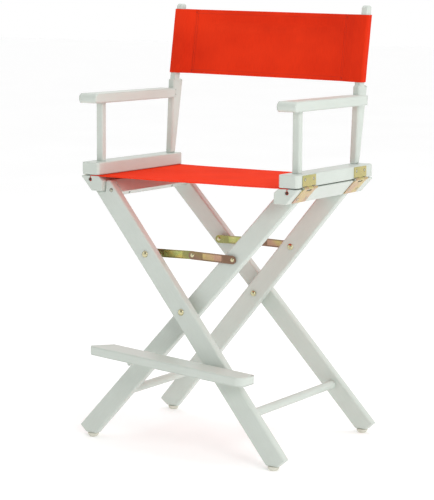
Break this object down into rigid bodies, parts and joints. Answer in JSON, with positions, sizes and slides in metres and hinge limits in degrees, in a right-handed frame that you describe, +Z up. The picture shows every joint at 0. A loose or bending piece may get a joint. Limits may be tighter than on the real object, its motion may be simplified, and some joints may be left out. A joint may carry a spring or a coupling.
{
  "type": "folding director chair",
  "caption": "Counter-height folding chair with crossed painted wooden legs, a sling cloth seat and back, flat armrests, jointed braces and a footrest.",
  "frame": {"origin": "centre of the box's footprint, on the floor", "axes": "+Z up, the sitter faces -Y, +X is the side of the outer frame's feet"},
  "size_m": [0.5844, 0.4826, 1.0033],
  "materials": {
    "paint": "semi-gloss white painted hardwood",
    "hardware": "yellow zinc plated steel",
    "glide": "cream plastic",
    "canvas": "red cotton duck",
    "rod": "plain dowel"
  },
  "bodies": {
    "centre_pivots": {"pivot_bolt_front": "hardware", "pivot_bolt_rear": "hardware", "pivot_spacer_front": "hardware", "pivot_spacer_rear": "hardware", "seat_canvas": "canvas"},
    "outer_legs": {"outer_leg_front": "paint", "outer_leg_rear": "paint", "outer_cleat": "paint", "outer_stretcher": "paint", "outer_glide_front": "glide", "outer_glide_rear": "glide", "seat_rail_left": "paint", "seat_rod_left": "rod", "hinge_lower_left_front": "hardware", "hinge_pin_left_front": "hardware", "hinge_lower_left_rear": "hardware", "hinge_pin_left_rear": "hardware", "brace_bolt_outer_front": "hardware", "brace_bolt_outer_rear": "hardware", "footrest_bolt": "hardware"},
    "inner_legs": {"inner_leg_front": "paint", "inner_leg_rear": "paint", "inner_cleat": "paint", "inner_stretcher": "paint", "inner_glide_front": "glide", "inner_glide_rear": "glide", "seat_rail_right": "paint", "seat_rod_right": "rod", "hinge_lower_right_front": "hardware", "hinge_pin_right_front": "hardware", "hinge_lower_right_rear": "hardware", "hinge_pin_right_rear": "hardware", "brace_bolt_inner_front": "hardware", "brace_bolt_inner_rear": "hardware", "footrest_pin": "hardware"},
    "left_arm": {"arm_rail_left": "paint", "front_post_left": "paint", "rear_post_left": "paint", "armrest_left": "paint", "hinge_upper_left_front": "hardware", "hinge_upper_left_rear": "hardware", "back_sleeve_left": "canvas", "back_panel": "canvas"},
    "right_arm": {"arm_rail_right": "paint", "front_post_right": "paint", "rear_post_right": "paint", "armrest_right": "paint", "hinge_upper_right_front": "hardware", "hinge_upper_right_rear": "hardware", "back_sleeve_right": "canvas"},
    "brace_front_outer": {"brace_link_outer_front": "hardware"},
    "brace_front_inner": {"brace_link_inner_front": "hardware"},
    "brace_rear_outer": {"brace_link_outer_rear": "hardware"},
    "brace_rear_inner": {"brace_link_inner_rear": "hardware"},
    "footrest": {"footrest_board": "paint"}
  },
  "joints": [
    {"name": "fold", "type": "hinge", "parent": "centre_pivots", "child": "outer_legs", "pos_m": [0, 0.019, 0.321], "axis": [0, 1, 0], "range_deg": [0, 34], "deforming": ["seat_canvas", "back_panel", "back_sleeve_left", "back_sleeve_right"]},
    {"name": "inner_fold", "type": "hinge", "parent": "centre_pivots", "child": "inner_legs", "pos_m": [0, 0.019, 0.321], "axis": [0, 1, 0], "range_deg": [-34, 0]},
    {"name": "left_arm_hinge", "type": "hinge", "parent": "outer_legs", "child": "left_arm", "pos_m": [-0.289, 0.019, 0.613], "axis": [0, 1, 0], "range_deg": [-34, 0]},
    {"name": "right_arm_hinge", "type": "hinge", "parent": "inner_legs", "child": "right_arm", "pos_m": [0.289, 0.019, 0.613], "axis": [0, 1, 0], "range_deg": [0, 34]},
    {"name": "front_outer_brace", "type": "hinge", "parent": "outer_legs", "child": "brace_front_outer", "pos_m": [-0.10563, -0.1215, 0.44251], "axis": [0, 1, 0], "range_deg": [-112.4, 0]},
    {"name": "front_inner_brace", "type": "hinge", "parent": "inner_legs", "child": "brace_front_inner", "pos_m": [0.10563, -0.124, 0.44251], "axis": [0, 1, 0], "range_deg": [0, 112.4]},
    {"name": "rear_outer_brace", "type": "hinge", "parent": "outer_legs", "child": "brace_rear_outer", "pos_m": [-0.10563, 0.1595, 0.44251], "axis": [0, 1, 0], "range_deg": [-112.4, 0]},
    {"name": "rear_inner_brace", "type": "hinge", "parent": "inner_legs", "child": "brace_rear_inner", "pos_m": [0.10563, 0.162, 0.44251], "axis": [0, 1, 0], "range_deg": [0, 112.4]},
    {"name": "footrest_swing", "type": "hinge", "parent": "outer_legs", "child": "footrest", "pos_m": [0.10353, -0.18131, 0.2019], "axis": [0, 0.995, -0.0995], "range_deg": [0, 45]}
  ],
  "couplings": [
    {"joint": "inner_fold", "follows": "fold", "ratio": -1},
    {"joint": "left_arm_hinge", "follows": "fold", "ratio": -1},
    {"joint": "right_arm_hinge", "follows": "fold", "ratio": 1},
    {"joint": "front_outer_brace", "follows": "fold", "ratio": -3.3003},
    {"joint": "front_inner_brace", "follows": "fold", "ratio": 3.3003},
    {"joint": "rear_outer_brace", "follows": "fold", "ratio": -3.3003},
    {"joint": "rear_inner_brace", "follows": "fold", "ratio": 3.3003}
  ]
}
